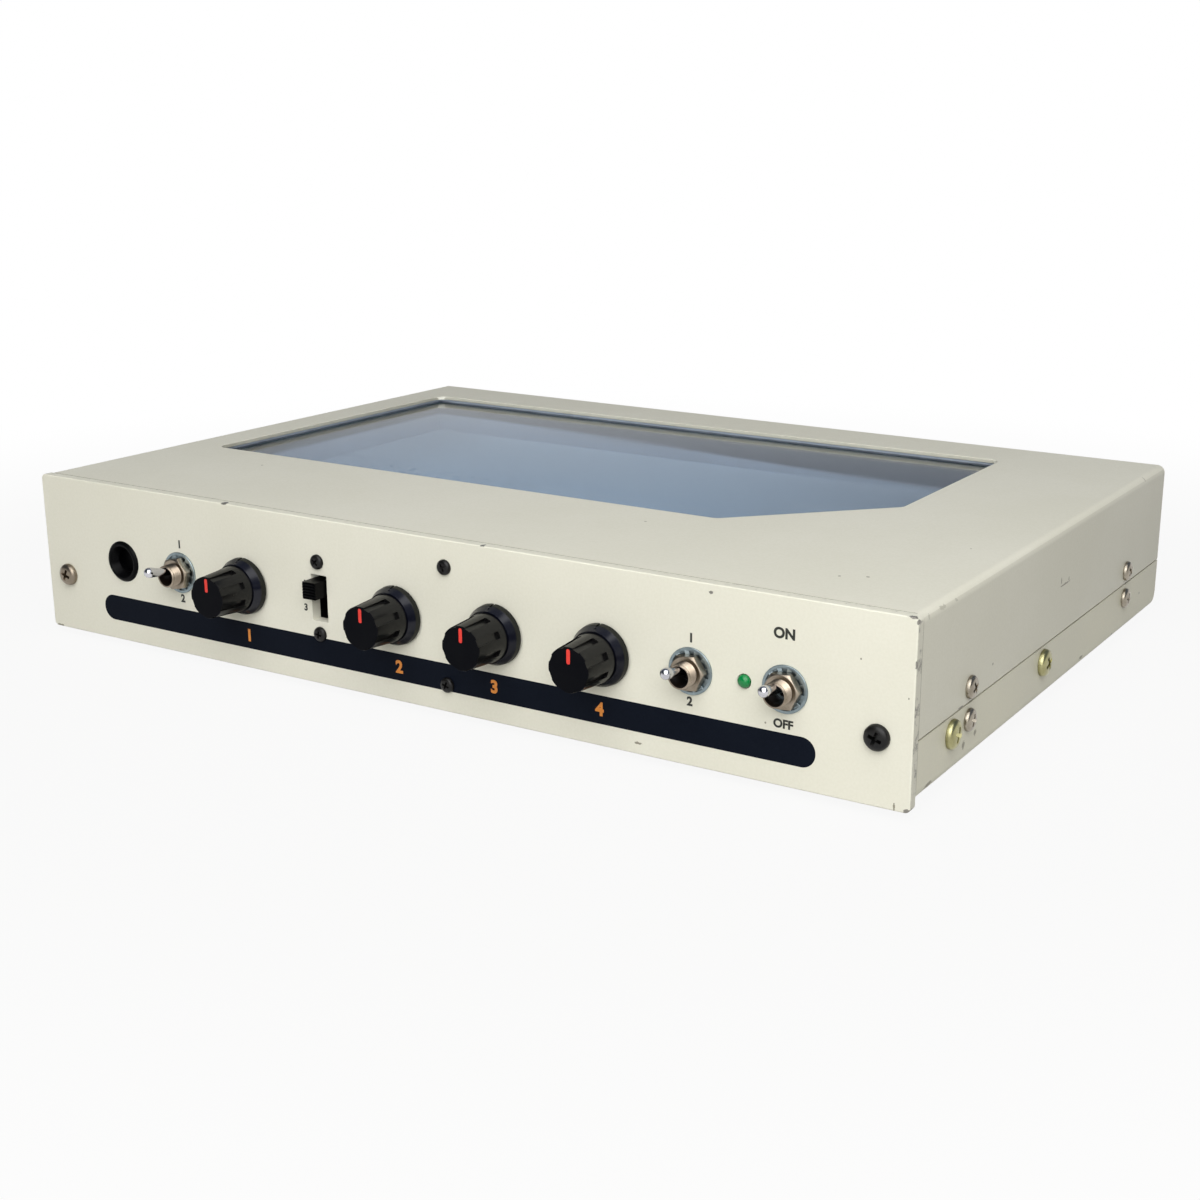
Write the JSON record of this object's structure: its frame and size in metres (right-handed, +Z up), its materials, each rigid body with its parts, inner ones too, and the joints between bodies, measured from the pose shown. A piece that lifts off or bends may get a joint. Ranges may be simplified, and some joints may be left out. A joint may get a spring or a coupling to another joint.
{
  "type": "tape echo unit",
  "caption": "Low sheet-metal tape echo unit with control knobs, toggles and a mode switch on the front, a glass window over the tape chamber on top and rubber feet.",
  "frame": {"origin": "middle of the base of the whole object, on the surface that the feet stand on", "axes": "+X to the right seen from the front, +Y from the front panel towards the rear panel, +Z up"},
  "size_m": [0.2682, 0.1994, 0.0463],
  "materials": {
    "cream_paint": "semi-gloss cream paint, chipped at the edges",
    "bright_steel": "nickel-plated steel",
    "tinted_nickel": "warm nickel plate",
    "yellow_zinc": "yellow-passivated zinc plate",
    "blue_zinc": "blue-passivated zinc plate",
    "black_steel": "black oxide",
    "aluminium": "mill finish",
    "black_plastic": "moulded, low gloss",
    "dark_rubber": "matt",
    "clear_glass": "clear, green at the edge",
    "deck_paint": "light blue-grey",
    "dark_wall": "matt dark grey",
    "red_plastic": "moulded",
    "green_lens": "clear coloured lens",
    "board_green": "lacquered board",
    "tape_brown": "satin oxide tape",
    "brass": "turned",
    "bronze": "sintered bearing",
    "head_steel": "lapped",
    "white_plastic": "moulded"
  },
  "bodies": {
    "case": {"front_panel": "cream_paint", "top_cover": "cream_paint", "bottom_chassis": "cream_paint", "rear_panel": "cream_paint", "side_rail_left": "aluminium", "side_rail_right": "aluminium", "centre_bracket": "aluminium", "window_glass": "clear_glass", "window_gasket": "dark_rubber", "deck_plate": "deck_paint", "chamber_wall": "dark_wall", "rubber_feet": "dark_rubber", "foot_screws": "bright_steel", "panel_screw_left": "tinted_nickel", "panel_screw_right": "black_steel", "small_black_screws": "black_steel", "side_screws": "bright_steel", "strap_screws": "yellow_zinc", "rear_screws": "bright_steel", "deck_screws": "bright_steel", "pot_bodies": "bright_steel", "pot_nuts": "bright_steel", "toggle_bodies": "red_plastic", "toggle_bushings": "tinted_nickel", "toggle_nuts": "tinted_nickel", "toggle_washers": "blue_zinc", "mode_switch_body": "bright_steel", "input_jack": "black_plastic", "rear_jacks": "black_plastic", "rear_jack_nuts": "bright_steel", "power_inlet": "black_plastic", "power_led": "green_lens", "main_board": "board_green", "tape_loop": "tape_brown", "erase_head": "dark_wall", "echo_heads": "head_steel", "capstan_bearing": "bronze", "drive_motor": "bright_steel", "drive_belt": "dark_rubber", "deck_posts": "bright_steel"},
    "knob_input": {"knob_input": "black_plastic", "shaft_input": "aluminium"},
    "knob_echo": {"knob_echo": "black_plastic", "shaft_echo": "aluminium"},
    "knob_repeat": {"knob_repeat": "black_plastic", "shaft_repeat": "aluminium"},
    "knob_time": {"knob_time": "black_plastic", "shaft_time": "aluminium"},
    "lever_attenuator": {"lever_attenuator": "head_steel"},
    "lever_playback": {"lever_playback": "head_steel"},
    "lever_power": {"lever_power": "head_steel"},
    "mode_slider": {"mode_slider": "black_plastic"},
    "capstan": {"capstan_shaft": "head_steel", "flywheel": "brass"},
    "motor_rotor": {"motor_pulley": "brass"},
    "pinch_arm": {"pinch_arm": "bright_steel", "pinch_spring": "bright_steel"},
    "pinch_roller": {"pinch_roller": "dark_rubber"},
    "roller_left": {"roller_left": "white_plastic"},
    "roller_right": {"roller_right": "white_plastic"}
  },
  "joints": [
    {"name": "turn_input", "type": "hinge", "parent": "case", "child": "knob_input", "pos_m": [-0.0568, -0.08533, 0.02515], "axis": [0, 1, 0], "range_deg": [-150, 150]},
    {"name": "turn_echo", "type": "hinge", "parent": "case", "child": "knob_echo", "pos_m": [-0.0062, -0.08533, 0.02515], "axis": [0, 1, 0], "range_deg": [-150, 150]},
    {"name": "turn_repeat", "type": "hinge", "parent": "case", "child": "knob_repeat", "pos_m": [0.024, -0.08533, 0.02515], "axis": [0, 1, 0], "range_deg": [-150, 150]},
    {"name": "turn_time", "type": "hinge", "parent": "case", "child": "knob_time", "pos_m": [0.0542, -0.08533, 0.02515], "axis": [0, 1, 0], "range_deg": [-150, 150]},
    {"name": "flip_attenuator", "type": "hinge", "parent": "case", "child": "lever_attenuator", "pos_m": [-0.0806, -0.08483, 0.02515], "axis": [1, 0, 0], "range_deg": [0, 24]},
    {"name": "flip_playback", "type": "hinge", "parent": "case", "child": "lever_playback", "pos_m": [0.0778, -0.08483, 0.02515], "axis": [1, 0, 0], "range_deg": [0, 24]},
    {"name": "flip_power", "type": "hinge", "parent": "case", "child": "lever_power", "pos_m": [0.1017, -0.08403, 0.02515], "axis": [1, 0, 0], "range_deg": [0, 24]},
    {"name": "slide_mode", "type": "slide", "parent": "case", "child": "mode_slider", "axis": [0, 0, -1], "range_m": [0, 0.0057]},
    {"name": "capstan_spin", "type": "hinge", "parent": "case", "child": "capstan", "pos_m": [0.046, -0.04941, 0.02225], "axis": [0, 0, 1], "continuous": true},
    {"name": "motor_spin", "type": "hinge", "parent": "case", "child": "motor_rotor", "pos_m": [-0.006, -0.03333, 0.02225], "axis": [0, 0, 1], "continuous": true},
    {"name": "pinch_swing", "type": "hinge", "parent": "case", "child": "pinch_arm", "pos_m": [0.064, -0.05876, 0.03725], "axis": [0, 0, 1], "range_deg": [0, 12], "stiffness_Nm_per_rad": 0.05, "springref_deg": -17.19},
    {"name": "pinch_spin", "type": "hinge", "parent": "pinch_arm", "child": "pinch_roller", "pos_m": [0.046, -0.05776, 0.03725], "axis": [0, 0, 1], "continuous": true},
    {"name": "roller_left_spin", "type": "hinge", "parent": "case", "child": "roller_left", "pos_m": [-0.0927, -0.02476, 0.03725], "axis": [0, 0, 1], "continuous": true},
    {"name": "roller_right_spin", "type": "hinge", "parent": "case", "child": "roller_right", "pos_m": [0.0737, -0.02476, 0.03725], "axis": [0, 0, 1], "continuous": true}
  ],
  "couplings": [
    {"joint": "motor_spin", "follows": "capstan_spin", "ratio": 4.7143},
    {"joint": "pinch_spin", "follows": "capstan_spin", "ratio": -0.25},
    {"joint": "roller_left_spin", "follows": "capstan_spin", "ratio": 0.3},
    {"joint": "roller_right_spin", "follows": "capstan_spin", "ratio": 0.3}
  ]
}
